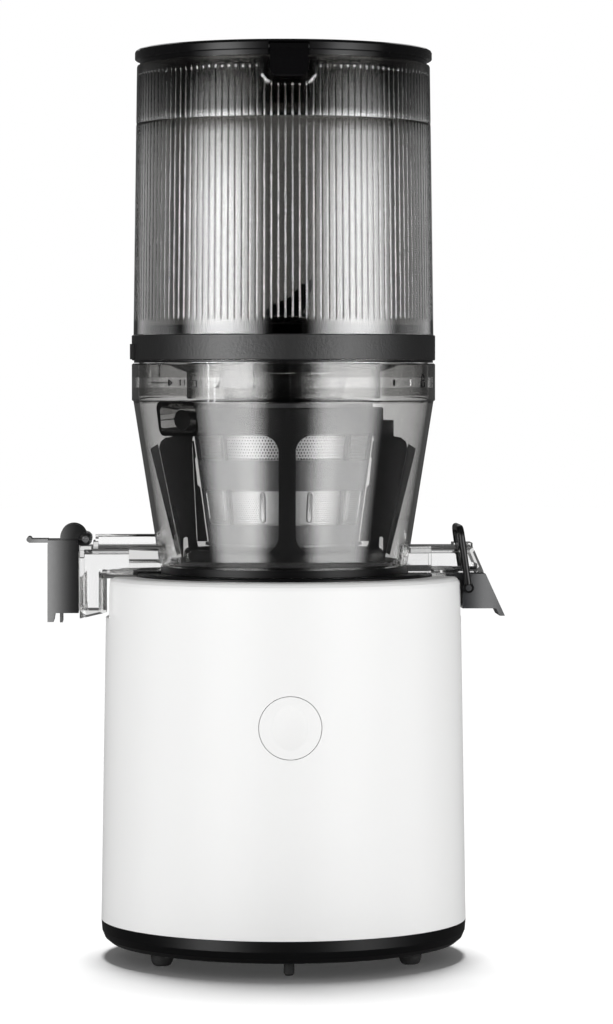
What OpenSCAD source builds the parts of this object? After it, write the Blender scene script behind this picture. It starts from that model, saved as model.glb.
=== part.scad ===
// Upright slow juicer: motor base, juicing chamber, turning brush frame, strainer,
// auger and tall self-feeding hopper. Millimetres, +Z up, standing on Z = 0.
// The drive axis is the Z axis. Front is -Y, juice spout -X, pulp spout +X.

/* [Base] */
// Radius of the base at its black skirt
base_r = 91; // [88:0.5:94]
// Radius of the white body just under its rounded shoulder
body_top_r = 88.2; // [86:0.1:90]
// Wall of the white body
body_wall = 2.6; // [2:0.1:3.2]
// Height of the white body's top face
body_top = 190; // [189:0.1:191]
// Radius of the push button
button_r = 15; // [12:0.1:15]
// Height of the push button's centre
button_z = 121; // [110:1:130]
// Height of the rubber feet
foot_h = 7; // [5:0.5:7]

/* [Chamber] */
// Radius of the chamber's foot, in its black seat
chamber_foot_r = 61.4; // [60:0.1:61.5]
// Radius of the chamber just under its rim band
chamber_top_r = 74.6; // [73:0.1:75]
// Wall of the chamber
chamber_wall = 2.4; // [2:0.1:3]
// Radius of the rim band and of the collar above it
rim_r = 75.5; // [75:0.1:77]

/* [Strainer and brush frame] */
// Radius of the strainer at the bottom of its cone
strainer_lo_r = 37.5; // [36:0.1:38]
// Radius of the strainer at its top
strainer_hi_r = 44.5; // [43:0.1:44.8]
// Width of a brush-frame pillar
pillar_w = 8.2; // [6:0.2:10]
// Radius of the brush frame's upper ring
ring_r = 49.7; // [48.5:0.1:50]

/* [Hopper] */
// Radius at the bottom of the hopper
hopper_lo_r = 74.6; // [74:0.1:75.2]
// Radius at the top of the hopper
hopper_hi_r = 72.7; // [72:0.1:73]
// Wall of the hopper
hopper_wall = 2.4; // [2:0.1:2.6]
// Radius of the lid's flange
lid_r = 73.7; // [73:0.1:73.8]
// Height of the top of the lid
lid_top = 450.5; // [449:0.1:452]

/* [Gearing] */
// Teeth of the two small pinions in the gearbox
pinion_t = 12; // [12:1:12]
// Teeth of the two large wheels in the gearbox
wheel_t = 48; // [48:1:48]
// Pressure angle of all gears
pa = 25; // [20:1:25]

/* [Hidden] */
$fn = 96;
white = [0.95, 0.95, 0.95];
black = [0.06, 0.06, 0.065];
charcoal = [0.14, 0.14, 0.15];
grey = [0.45, 0.45, 0.47];
steel = [0.75, 0.75, 0.77];
clear = [0.85, 0.87, 0.88, 0.4];
smoke = [0.3, 0.3, 0.32, 0.5];
soft = [0.75, 0.75, 0.76];
hub_y = 37.5;            // intermediate shaft
mot_y = 7.5;             // motor shaft
posts = [[-44, -24], [44, -24], [-46, 46], [46, 46]];  // gearbox mounts
strainer_k = (strainer_hi_r - strainer_lo_r) / 52;
chamber_k = (chamber_top_r - 61.75) / 81;
hopper_k = (hopper_hi_r - hopper_lo_r) / 133.6;

function rs(z) = strainer_lo_r + (min(z, 260) - 208) * strainer_k;   // strainer outside
function rc(z) = 61.75 + (z - 195) * chamber_k;                      // chamber outside
function rh(z) = hopper_lo_r + (z - 309.4) * hopper_k;               // hopper outside

module rev(p) rotate_extrude() polygon(p);
module at(x, y, z = 0) translate([x, y, z]) children();
module ring(ro, ri, z0, z1) rev([[ri, z0], [ro, z0], [ro, z1], [ri, z1]]);
module xcyl(r, x0, x1) translate([x0, 0, 0]) rotate([0, 90, 0]) cylinder(r = r, h = x1 - x0);
module ycyl(r, y0, y1) translate([0, y0, 0]) rotate([-90, 0, 0]) cylinder(r = r, h = y1 - y0);
module blk(x0, x1, y0, y1, z0, z1)
    translate([x0, y0, z0]) cube([x1 - x0, y1 - y0, z1 - z0]);
// A plate drawn in X and Z, from y0 to y1
module slab(y0, y1) translate([0, y1, 0]) rotate([90, 0, 0]) linear_extrude(y1 - y0) children();
// A rounded rectangle with exact corners
module rr(x0, x1, y0, y1, r) {
    translate([x0 + r, y0]) square([x1 - x0 - 2 * r, y1 - y0]);
    translate([x0, y0 + r]) square([x1 - x0, y1 - y0 - 2 * r]);
    for (x = [x0 + r, x1 - r], y = [y0 + r, y1 - r]) translate([x, y]) circle(r);
}
// A duct along X with a rounded section in Y and Z
module duct(x0, x1, y, z0, z1, r) translate([x0, 0, 0]) rotate([90, 0, 90])
    linear_extrude(x1 - x0) rr(-y, y, z0, z1, r);
module around(n, a0 = 0) for (i = [0 : n - 1]) rotate([0, 0, a0 + i * 360 / n]) children();
module fillet2d(r) difference() { square([r, r]); translate([r, r]) circle(r); }

// Involute gear outline: z teeth, module m, slack thins each tooth, one tooth on +X
function inv(a) = tan(a) * 180 / PI - a;
function half(r, z, m, slack) = let (rp = z * m / 2, rb = rp * cos(pa))
    90 / z - slack / rp * 90 / PI + inv(pa) - (r > rb ? inv(acos(rb / r)) : 0);
function pol(r, a) = [r * cos(a), r * sin(a)];
function gear(z, m, slack = 0.25, add = 0.9, ded = 1.2) =
    let (rp = z * m / 2, ra = rp + add * m, rf = rp - ded * m, lo = max(rf, rp * cos(pa)),
         rl = [for (i = [0 : 3]) lo + (ra - lo) * i / 3])
    [for (k = [0 : z - 1]) let (c = 360 * k / z) each concat(
        rf < lo ? [pol(rf, c - half(lo, z, m, slack))] : [],
        [for (r = rl) pol(r, c - half(r, z, m, slack))],
        [for (i = [3 : -1 : 0]) pol(rl[i], c + half(rl[i], z, m, slack))],
        rf < lo ? [pol(rf, c + half(lo, z, m, slack))] : [])];

// ---------------------------------------------------------------- base
// outside of the white body: straight draft, then a soft shoulder
function shell_out() = [[base_r, 19], [base_r - 0.2, 28], [body_top_r + 0.4, 163],
    [body_top_r, body_top - 3.6], [body_top_r - 0.3, body_top - 2.1],
    [body_top_r - 1.2, body_top - 0.9], [body_top_r - 2.3, body_top - 0.2],
    [body_top_r - 3.6, body_top]];

module shell_solid() rev(concat([[0, 19]], shell_out(), [[0, body_top]]));

module body_shell() color(white) difference() {
    union() {
        difference() {
            shell_solid();
            rev([[0, 18], [base_r - body_wall, 18], [base_r - body_wall - 0.2, 28],
                 [body_top_r + 0.4 - body_wall, 163], [body_top_r - body_wall, 184],
                 [body_top_r - body_wall - 3, 187], [0, 187]]);
        }
        // ledge for the deck
        ring(84, 71, 184.4, 187.4);
        // thicker pads behind the two spout recesses
        intersection() {
            shell_solid();
            union() {
                blk(-86.5, -82.5, -21, 21, 166, 188);
                blk(82.5, 86.5, -19, 19, 167, 188);
            }
        }
        // screw bosses for the bottom cover, tied to the wall
        around(4, 45) {
            at(80.5, 0, 25) cylinder(r = 5, h = 24);
            blk(84, base_r - 1.2, -2, 2, 25, 49);
        }
        // collar round the button
        intersection() {
            shell_solid();
            difference() {
                at(0, 0, button_z) ycyl(19, -base_r, -85.2);
                at(0, 0, button_z) ycyl(17.4, -base_r - 1, -85);
            }
        }
        // posts for the control board
        for (x = [-29, 29], z = [92, 148]) at(x, 0, z) ycyl(3.2, -81.9, -71.2);
        // collar round the cord gland
        at(0, 0, 34) ycyl(11, 86, 89.4);
    }
    around(4, 45) at(80.5, 0, 24) cylinder(r = 2, h = 15);
    // recesses in which the spouts nest
    blk(-100, -86.1, -16.5, 16.5, 169.3, 200);
    blk(-100, -60, -16.5, 16.5, 188.4, 200);
    blk(87.4, 100, -16.5, 16.5, 169.6, 200);
    blk(60, 100, -16.5, 16.5, 187.6, 200);
    at(0, 0, 186) cylinder(r = 75.2, h = 10);
    at(0, 0, 187.2) cylinder(r = 75.2, h = 10);
    at(0, 0, 184) cylinder(r = 71, h = 10);
    // button hole and cord hole
    at(0, 0, button_z) ycyl(button_r + 0.3, -base_r - 1, -80);
    at(0, 0, 34) ycyl(7.2, 80, base_r + 1);
    for (x = [-29, 29], z = [92, 148]) at(x, 0, z) ycyl(1.25, -79, -70);
    // holes for the deck screws
    around(6, 30) at(73, 0, 180) cylinder(r = 1.6, h = 10);
    // air slots in the rear wall
    for (i = [-5 : 5]) at(i * 6, 0) slab(80, base_r + 1) rr(-1.2, 1.2, 64, 96, 1.1);
}

module top_deck() color(black) difference() {
    union() {
        rev([[13.4, 184.2], [70.6, 184.2], [70.6, 187.2], [74.8, 187.2], [74.8, 190.9],
             [74.1, 191.6], [63.4, 191.6], [63.1, 195], [62.1, 195], [61.9, 186.8],
             [13.4, 186.8]]);
        ring(17, 13.4, 179.2, 184.4);
        // posts that carry the gearbox
        for (p = posts) at(p[0], p[1], 159.6) cylinder(r = 5.5, h = 24.8);
    }
    for (p = posts) at(p[0], p[1], 150) cylinder(r = 1.7, h = 24);
    around(6, 30) at(73, 0, 187) cylinder(r = 1.35, h = 3.6);
    // channels for the two spouts
    blk(-80, -50, -16.5, 16.5, 188.4, 200);
    blk(50, 80, -16.5, 16.5, 187.6, 200);
}

module base_cover() color(black) difference() {
    union() {
        rev([[0, 7], [82, 7], [86.4, 7.9], [89.2, 10.2], [90.6, 13.6], [base_r, 18.8],
             [88, 18.8], [88, 24], [86.4, 24], [86.4, 13], [84.4, 10.6], [80, 9.8], [0, 9.8]]);
        around(4, 45) at(80.5, 0, 7.5) cylinder(r = 5, h = 17.3);
        for (x = [-61, 61], y = [-35.5, 35.5]) at(x, y, 8) cylinder(r = 5, h = 7);
        for (y = [-71, 71]) at(0, y, 8) cylinder(r = 4, h = 6);
        at(-60, -28, 8) ring(14, 9, 0, 13.8);
    }
    around(4, 45) {
        at(80.5, 0, 6) cylinder(r = 4, h = 5);
        at(80.5, 0, 6) cylinder(r = 2.3, h = 30);
    }
    for (x = [-61, 61], y = [-35.5, 35.5]) at(x, y, 6) cylinder(r = 2.6, h = 7.2);
    for (y = [-71, 71]) at(0, y, 6) cylinder(r = 1.4, h = 6.2);
    // air inlet under the fan
    around(3) for (k = [0 : 3]) rotate([0, 0, 12]) translate([0, 0, 6])
        rotate_extrude(angle = 96) translate([14 + k * 8, 0]) square([3.2, 5]);
}

module rubber_feet() color(charcoal) {
    for (x = [-61, 61], y = [-35.5, 35.5]) at(x, y) {
        rev([[0, 0], [3.4, 0], [4.3, 0.5], [5, 1.6], [5.5, 3.2], [5.5, foot_h - 0.1],
             [0, foot_h - 0.1]]);
        at(0, 0, foot_h - 0.2) cylinder(r = 2.5, h = 6);
    }
    // two slim pegs, front and rear
    for (y = [-71, 71]) at(0, y) {
        rev([[0, 0], [1.8, 0], [2.6, 1], [2.6, foot_h - 0.1], [0, foot_h - 0.1]]);
        at(0, 0, foot_h - 0.2) cylinder(r = 1.3, h = 5);
    }
}

// Rear gland with the plain bore the mains lead would enter by
module cord_gland() color(black) at(0, 0, 34) difference() {
    union() {
        ycyl(9.5, 91, 93);
        ycyl(8.6, 93, 94);
        ycyl(7, 80, 91.2);
        ycyl(9.4, 80, 85.6);
    }
    ycyl(3.7, 90, 100);
    ycyl(4.7, 70, 91.2);
}

module button_switch() color(charcoal) {
    difference() {
        blk(-5, 5, -76.2, -71.2, button_z - 5, button_z + 5);
        at(0, 0, button_z) ycyl(2.2, -80, -75.2);
    }
    at(0, 0, button_z) ycyl(2, -77, -75.3);
}

module control_board() color([0.05, 0.3, 0.15]) {
    difference() {
        blk(-33, 33, -71, -69.4, 88, 152);
        for (x = [-29, 29], z = [92, 148]) at(x, 0, z) ycyl(1.6, -80, -60);
    }
    blk(-28, -14, -69.3, -58, 96, 112);
    blk(12, 27, -69.3, -60, 94, 108);
    at(-20, 0, 134) ycyl(7, -69.3, -56);
    at(18, 0, 134) ycyl(5, -69.3, -57);
    blk(-6, 6, -69.3, -66.5, 104, 116);
}

module board_screws() color(steel) for (x = [-29, 29], z = [92, 148]) at(x, 0, z) {
    ycyl(2.6, -69.3, -67.3);
    ycyl(1.2, -77.5, -69.2);
}

module run_capacitor() color([0.75, 0.75, 0.78]) at(-60, -28, 22) {
    cylinder(r = 12.5, h = 46);
    at(0, 0, 46) cylinder(r = 11.6, h = 1.6);
    for (x = [-5, 5]) blk(x - 0.5, x + 0.5, -3, 3, 47.5, 56);
}

module interlock_sensor() color(charcoal) rotate([0, 0, 220]) {
    blk(64, 69, -7, 7, 176, 184);
    blk(65, 68, -4, 4, 172, 176.1);
}

module motor_case() color(steel) at(0, mot_y) difference() {
    union() {
        ring(40, 37.4, 42, 108);
        ring(40, 11.2, 42, 44.6);
        ring(40, 11.2, 105.4, 108);
        ring(14, 11.2, 38, 47.5);
        ring(14, 11.2, 101, 109.4);
    }
    around(8) blk(22, 32, -3, 3, 41, 46);
    around(12) blk(36, 42, -2.5, 2.5, 50, 62);
    around(4, 45) at(30, 0, 100) cylinder(r = 2.2, h = 12);
}

module motor_stator() color([0.72, 0.45, 0.2]) at(0, mot_y) difference() {
    union() {
        ring(37.2, 24, 58, 92);
        ring(33, 27, 50, 100);
    }
    around(12, 15) at(30, 0, 49) cylinder(r = 1.4, h = 60);
}

module bearing(ro, ri, z0, h) {
    ring(ro, ro - 1.6, z0, z0 + h);
    ring(ri + 1.5, ri, z0, z0 + h);
    ring(ro - 1.65, ri + 1.55, z0 + 0.4, z0 + h - 0.4);
}

module motor_bearings() color(steel) at(0, mot_y) {
    bearing(11.1, 4.06, 39, 7);
    bearing(11.1, 4.06, 102, 7);
}

module gearbox_housing() color(grey) difference() {
    union() {
        at(0, 14) ring(52, 49.2, 110, 150);
        at(0, 14, 110) cylinder(r = 52, h = 6);
        at(0, hub_y, 110) cylinder(r = 13, h = 8.6);
    }
    at(0, mot_y, 105) cylinder(r = 14.3, h = 12);
    at(0, hub_y, 112) cylinder(r = 8.1, h = 10);
    at(0, mot_y) around(4, 45) at(30, 0, 100) cylinder(r = 2.05, h = 15);
}

module gearbox_mid_plate() color(grey) difference() {
    at(0, 14, 129.6) cylinder(r = 49, h = 3.6);
    at(0, hub_y, 120) cylinder(r = 10.5, h = 20);
    at(0, 0, 130.8) cylinder(r = 12.1, h = 10);
}

module gearbox_cover() color(grey) difference() {
    union() {
        at(0, 14, 150.2) cylinder(r = 52, h = 5);
        for (p = posts) at(p[0], p[1], 150.2) cylinder(r = 8, h = 5);
        at(0, 0, 155) cylinder(r = 17, h = 7);
        at(0, hub_y, 155) cylinder(r = 10.5, h = 2.4);
    }
    at(0, 0, 149) cylinder(r = 8.6, h = 20);
    at(0, 0, 154) cylinder(r = 14.1, h = 20);
    at(0, hub_y, 149) cylinder(r = 8.1, h = 6.6);
    for (p = posts) at(p[0], p[1], 149) cylinder(r = 2.6, h = 10);
}

module gearbox_bearings() color(steel) {
    bearing(12, 7.06, 130.9, 5);       // foot of the drive shaft
    bearing(14, 7.06, 154.1, 7.8);     // head of the drive shaft
    at(0, hub_y) bearing(8, 4.06, 112.2, 6.2);
    at(0, hub_y) bearing(8, 4.06, 150.4, 5);
}

module gearbox_mounts() color(charcoal) for (p = posts)
    at(p[0], p[1]) ring(6.5, 2.6, 155.4, 159.4);

// Screws of the gearbox posts and of the motor's flange
module drive_screws() color(steel) {
    for (p = posts) at(p[0], p[1]) {
        at(0, 0, 147.6) cylinder(r = 3.6, h = 2.4);
        at(0, 0, 149.9) cylinder(r = 1.6, h = 22);
    }
    at(0, mot_y) around(4, 45) at(30, 0) {
        at(0, 0, 103) cylinder(r = 3.6, h = 2.2);
        at(0, 0, 105) cylinder(r = 2, h = 9.5);
    }
}

module shaft_seal() color(charcoal) {
    rev([[7.35, 184.6], [9, 183], [9, 180], [13.3, 180], [13.3, 186.4], [7.35, 186.4]]);
}

module base_screws() color(steel) around(4, 45) at(80.5, 0) {
    at(0, 0, 8.4) cylinder(r = 3.6, h = 2.5);
    at(0, 0, 10.6) cylinder(r = 1.9, h = 26);
}

module deck_screws() color(steel) around(6, 30) at(73, 0) {
    at(0, 0, 182.2) cylinder(r = 2.7, h = 2.1);
    at(0, 0, 184.2) cylinder(r = 1.25, h = 6);
}

module power_button() color(white) difference() {
    union() {
        intersection() {
            rev(concat([[0, 19]], shell_out(), [[0, body_top]]));
            at(0, 0, button_z) ycyl(button_r, -base_r - 1, -84);
        }
        at(0, 0, button_z) ycyl(16.8, -84.5, -82.8);
        at(0, 0, button_z) ycyl(3, -83, -78.9);
    }
    // shallow finger dish
    translate([0, -base_r - 52.2, button_z + 1]) sphere(r = 55, $fn = 120);
}

// ---------------------------------------------------------------- drive train
module motor_rotor() color(steel) at(0, mot_y) {
    difference() {
        at(0, 0, 54) cylinder(r = 23.3, h = 42);
        around(16) at(23.3, 0, 53) cylinder(r = 1.2, h = 50);
    }
    at(0, 0, 26) cylinder(r = 4, h = 103);
}

module cooling_fan() color(black) at(0, mot_y) difference() {
    union() {
        at(0, 0, 24) cylinder(r = 9, h = 13);
        ring(38, 8, 24, 25.6);
        around(9) rotate([0, 0, 0]) blk(8, 36.5, -1, 1, 25, 35);
    }
    at(0, 0, 25.9) cylinder(r = 4.05, h = 20);
}

module motor_pinion() color(steel) at(0, mot_y, 119) difference() {
    linear_extrude(9) polygon(gear(pinion_t, 1));
    at(0, 0, -1) cylinder(r = 4.04, h = 20);
}

module intermediate_gear() color([0.8, 0.78, 0.7]) at(0, hub_y) difference() {
    union() {
        at(0, 0, 120) rotate([0, 0, 3.75]) linear_extrude(7) polygon(gear(wheel_t, 1));
        at(0, 0, 119.4) cylinder(r = 8, h = 15);
        at(0, 0, 134) linear_extrude(13) polygon(gear(pinion_t, 1.25));
    }
    at(0, 0, 110) cylinder(r = 4.04, h = 50);
    around(6) at(14.5, 0, 124) cylinder(r = 4, h = 10);
}

module intermediate_shaft() color(steel) at(0, hub_y, 112.6) cylinder(r = 4, h = 42.4);

module output_gear() color([0.8, 0.78, 0.7]) difference() {
    union() {
        at(0, 0, 137) rotate([0, 0, 3.75]) linear_extrude(9) polygon(gear(wheel_t, 1.25));
        at(0, 0, 136.4) cylinder(r = 12, h = 12.6);
    }
    at(0, 0, 130) cylinder(r = 7.04, h = 30);
    around(6) at(20, 0, 143) cylinder(r = 5, h = 10);
}

module drive_shaft() color(steel) {
    at(0, 0, 131.2) cylinder(r = 7, h = 56.2);
    at(0, 0, 187.3) cylinder(r = 6.9, h = 24.7, $fn = 6);
}

// ---------------------------------------------------------------- chamber
module chamber() color(clear) { chamber_wall_set(); strainer_lugs(); }

// Outer form of the bowl, its floor and its rim band, grown by g
module bowl_form(g = 0) rev([[0, 187.2 - g], [chamber_foot_r - 1 + g, 187.2 - g],
    [chamber_foot_r + g, 188.2], [chamber_foot_r + g, 195], [rc(195) + g, 195.4],
    [rc(276.6) + g, 276.6], [rim_r + g, 277.2], [rim_r + g, 294.8],
    [rim_r - 0.6 + g, 295.4 + g], [0, 295.4 + g]]);

module chamber_wall_set() difference() {
    union() {
        bowl_form();
        // interlock housing, front left
        intersection() {
            rev([[0, 250], [rc(250) - 0.6, 250], [rc(277) - 0.6, 277], [0, 277]]);
            rotate([0, 0, 221]) translate([57, 0, 0]) rotate([90, 0, 90])
                linear_extrude(20) rr(-14, 14, 260, 278, 4);
        }
    }
    // inside of the bowl, above the gears' floor
    rev([[0, 190.2], [chamber_foot_r - chamber_wall, 190.2],
         [rc(196) - chamber_wall, 196], [rc(257) - chamber_wall, 257],
         [rc(257) - chamber_wall, 257.01], [0, 257.01]]);
    difference() {
        rev([[0, 257], [rc(257) - chamber_wall, 257], [rc(276) - chamber_wall, 276],
             [72.3, 279], [72.3, 300], [0, 300]]);
        difference() {
            rotate([0, 0, 221]) translate([57, 0, 0]) rotate([90, 0, 90])
                linear_extrude(20) rr(-14, 14, 260, 276.8, 4);
            rotate([0, 0, 221]) translate([58.8, 0, 0]) rotate([90, 0, 90])
                linear_extrude(9.5) rr(-12.2, 12.2, 261.8, 275, 2.6);
        }
    }
    // bayonet groove and its four entries
    ring(73.7, 72, 283.4, 288.4);
    around(4, -20) rotate([0, 0, -6.5]) translate([0, 0, 283.4])
        rotate_extrude(angle = 13) translate([70, 0]) square([3.7, 20]);
    // hole for the auger's hub and its seal
    at(0, 0, 180) cylinder(r = 16, h = 20);
    // mouths of the juice way and the pulp way
    duct(-79, -50, 9, 191.6, 198, 2);
    duct(50, 74, 9, 193.4, 202.6, 2);
}

// Juice spout: duct, drop leg, hinge ears and slim guide tube
module juice_spout() color(clear) difference() {
    union() {
        difference() {
            union() {
                duct(-101.4, -50, 14.5, 189, 205, 3.5);
                translate([0, 0, 168]) linear_extrude(30) rr(-101.4, -88, -14.5, 14.5, 3.5);
            }
            at(-101.4, 0, 169.2) rotate([0, -13, 0]) blk(-10, 30, -30, 30, -20, 0);
        }
        at(0, 0, 208.1) xcyl(2.5, -93.6, -60);
        blk(-93, -60, -1, 1, 204.6, 206.4);
        for (s = [-1, 1]) at(-98.4, s * 12.6, 208.5) ycyl(3.3, -1.6, 1.6);
        for (s = [-1, 1]) blk(-101.2, -95.6, s * 12.6 - 1.6, s * 12.6 + 1.6, 203, 208.5);
        blk(-94.7, -92.2, -14.2, 14.2, 204, 207.2);
    }
    bowl_form(0.03);
    duct(-79, -50, 9, 191.6, 198, 2);
    duct(-99.2, -77, 12.3, 191.2, 202.8, 2.5);
    translate([0, 0, 173.2]) linear_extrude(26) rr(-99.2, -90.2, -12.3, 12.3, 2.2);
    blk(-105, -95, -9.5, 9.5, 176.5, 199);
    at(-98.4, 0, 208.5) ycyl(1.65, -20, 20);
}

// Pulp spout: duct with a slanted end, a bracket under it and two catch ribs
module pulp_spout() color(clear) difference() {
    union() {
        intersection() {
            duct(50, 110, 14.5, 191.6, 204.8, 3);
            slab(-20, 20) polygon([[50, 190], [99.9, 190], [92.8, 206], [50, 206]]);
        }
        blk(77.2, 79.8, -14, 14, 188.8, 193);
        for (x = [84.4, 91.6]) blk(x, x + 2.2, -9, 9, 204, 206.2);
    }
    bowl_form(0.03);
    duct(50, 74, 9, 193.4, 202.6, 2);
    intersection() {
        duct(73, 110, 12.3, 193, 202.8, 2);
        slab(-20, 20) polygon([[60, 180], [95.9, 180], [95.9, 193.3], [91.4, 203.6], [60, 203.6]]);
    }
    blk(84, 95.9, -11, 11, 190, 196);
}

// Lugs on the chamber's floor on which the strainer stands
module strainer_lugs() for (a = [-132, -58, 172])
    rotate([0, 0, a]) translate([0, 0, 190]) rotate_extrude(angle = 16)
        translate([31, 0]) square([5, 7.8]);

module chamber_seal() color(soft) rev([[12.65, 188.2], [13.4, 187.4], [15.9, 187.4],
    [15.9, 190.5], [12.65, 190.5]]);

module interlock_magnet() color(steel) rotate([0, 0, 221])
    translate([62, 0, 268.4]) rotate([0, 90, 0]) cylinder(r = 5, h = 4);

module strainer_frame() color(grey) difference() {
    union() {
        rev([[13.3, 198], [rs(198.5), 198], [rs(208), 208], [rs(260), 260],
             [strainer_hi_r, 276], [strainer_hi_r - 2.4, 276], [rs(260) - 2.4, 262.5],
             [rs(260) - 2.4, 260], [rs(208) - 2.4, 208], [rs(204) - 2.4, 204],
             [rs(203) - 2.4, 200.4], [13.3, 200.4]]);
        ring(strainer_hi_r + 0.7, strainer_hi_r - 1, 269, 271);
        ring(rs(212) + 0.9, rs(212) - 1, 205.4, 206.6);
    }
    // two rows of windows between eight ribs
    around(8, 1) {
        translate([0, 0, 248]) rotate_extrude(angle = 43) translate([34, 0]) square([20, 12.4]);
        translate([0, 0, 216]) rotate_extrude(angle = 43) translate([34, 0]) square([20, 17]);
    }
    // pulp hole in the floor and drain slots
    rotate([0, 0, -18]) translate([0, 0, 190]) rotate_extrude(angle = 36)
        translate([20, 0]) square([11.5, 20]);
}

module strainer_mesh() color(steel) rev([[rs(207) - 2.45, 207], [rs(260) - 2.45, 260],
    [rs(260) - 2.45, 262], [rs(260) - 2.95, 262], [rs(260) - 2.95, 260],
    [rs(207) - 2.95, 207]]);

module juice_cap() color(black) difference() {
    union() {
        // top plate and thumb lever with an upturned end
        blk(-117.1, -102.3, -14.6, 14.6, 205.9, 208);
        blk(-126.6, -117, -9, 9, 206.6, 208.4);
        at(-126.4, 0, 208.2) ycyl(1.3, -9, 9);
        // outer wall, tapering to the lower lip, and a second inner lip
        slab(-14.6, 14.6) polygon([[-117.3, 167.6], [-114.2, 167.6], [-113.3, 173],
            [-115, 176], [-115.4, 206], [-117.2, 206]]);
        blk(-111.2, -109.8, -11, 11, 167.2, 174.6);
        // side skirts
        for (s = [-1, 1]) slab(s * 13.6 - 1, s * 13.6 + 1)
            polygon([[-117, 172], [-101.9, 173], [-101.9, 206], [-117, 206]]);
        blk(-116, -101.9, -14.6, 14.6, 172, 173.6);
        // ears up to the hinge
        for (s = [-1, 1]) at(0, s * 8.6) intersection() {
            union() {
                at(-104.4, 0, 209.4) ycyl(6.6, -2, 2);
                at(-98.4, 0, 208.5) ycyl(3.2, -2, 2);
                slab(-2, 2) polygon([[-104.4, 208], [-98.4, 205.6], [-98.4, 211.6], [-104.4, 213]]);
            }
            blk(-115, -90, -3, 3, 205.4, 220);
        }
        at(-98.4, 0, 208.5) ycyl(3.2, -10.6, 10.6);
    }
    at(-98.4, 0, 208.5) ycyl(1.68, -20, 20);
}

module juice_cap_seal() color(soft) difference() {
    union() {
        blk(-104.2, -101.8, -11.6, 11.6, 174.4, 201.4);
        blk(-108.5, -104.1, -9, 9, 178, 198);
    }
    blk(-103, -101, -8.5, 8.5, 177.5, 198);
}

module juice_cap_pin() color(steel) at(-98.4, 0, 208.5) ycyl(1.6, -14.1, 14.1);

// Chute under the pulp spout, open above and below, which pulls off along +X
module pulp_chute() color(charcoal) difference() {
    union() {
        slab(-13.6, 13.6) polygon([[80.4, 191], [100, 191], [109.6, 170.1], [107, 170.1],
            [105.2, 173.8], [88.5, 173.8], [88.5, 187.95], [80.4, 188.3]]);
        for (s = [-1, 1]) at(91.2, s * 13.6, 184.2) ycyl(1.5, s > 0 ? -1 : -4.2, s > 0 ? 4.2 : 1);
        for (s = [-1, 1]) at(94.2, s * 13.6, 188.4) ycyl(2.1, -0.5, 0.5);
    }
    slab(-12, 12) polygon([[84.6, 192], [97.6, 192], [105.2, 175.2], [103, 171], [90.1, 171],
        [90.1, 189.2], [84.6, 189.8]]);
}

// Wire-like loop over the pulp spout, pivoting on the chute's two studs
module bail() color(black) translate([91.2, 0, 184.2]) rotate([0, -8, 0]) {
    for (s = [-1, 1]) difference() {
        union() {
            at(0, s * 16.4, 1.8) cylinder(r = 1.75, h = 23.5);
            at(0, s * 16.4, 0) ycyl(2.6, -1.3, 1.3);
        }
        at(0, s * 16.4, 0) ycyl(1.58, -3, 3);
    }
    for (s = [-1, 1]) translate([0, s * 11.9, 25.3]) rotate([90, 0, 90])
        rotate([0, 0, s > 0 ? 0 : 90]) rotate_extrude(angle = 90)
        translate([4.5, 0]) circle(1.75);
    at(0, 0, 29.8) ycyl(1.75, -11.9, 11.9);
}

// ---------------------------------------------------------------- turning brush frame
module frame_shell() rev([[43.3, 197], [47.3, 197], [ring_r - 1, 225], [ring_r, 262],
    [46, 262], [45.9, 259], [43.3, 205]]);

module brush_frame() color(charcoal) {
    difference() {
        union() {
            ring(56.5, 49, 190.9, 196.7);
            ring(56.5, 43.3, 196.6, 198);
            rev([[43.3, 197.5], [ring_r, 197.5], [ring_r, 202], [48.8, 203.4], [43.3, 203.4]]);
            rev([[46, 260], [54.9, 261], [54.9, 267.3], [ring_r, 267.3], [ring_r, 273.2],
                 [ring_r - 0.6, 273.7], [46, 273.7]]);
            // four pillars with filleted corners
            intersection() {
                frame_shell();
                around(4) rotate([0, 0, -90]) slab(-60, -30) {
                    translate([-pillar_w / 2, 197]) square([pillar_w, 65]);
                    for (s = [0, 1]) mirror([s, 0]) {
                        translate([pillar_w / 2 - 0.1, 203.3]) fillet2d(8);
                        translate([pillar_w / 2 - 0.1, 260.4]) mirror([0, 1]) fillet2d(8.5);
                    }
                }
            }
            // raised lines on the pillars' faces
            for (a = [0 : 3]) rotate([0, 0, 90 * a]) for (x = [-2.2, 0.6])
                intersection() {
                    slab(-60, -30) translate([x, 204]) square([1, 54]);
                    rev([[46.4, 204], [ring_r - 1.9, 204], [ring_r - 0.5, 225],
                         [ring_r + 0.5, 258], [46.4, 258]]);
                }
            // radial arms that carry the wiping blades
            for (s = [0, 1]) mirror([s, 0, 0]) slab(-1.6, 1.6)
                polygon([[46.2, 262], [46.2, 240], [45, 205], [46.6, 197.6], [50, 197.6],
                    [50.6, 198], [62, 253.6], [61.2, 256.6], [58.8, 258.6], [55, 259.4], [54.8, 262]]);
        }
        // internal gear in the foot ring
        translate([0, 0, 190]) rotate([0, 0, 180 / 52]) linear_extrude(6.7)
            polygon(gear(52, 2, -0.45, 1.2, 0.9));
        // notches beside the arms' feet
        for (s = [0, 1]) mirror([s, 0, 0]) slab(-4, 4) {
            translate([47.4, 198.4]) square([2.5, 9.5]);
            translate([48.65, 207.9]) circle(1.25);
        }
    }
}

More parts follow.
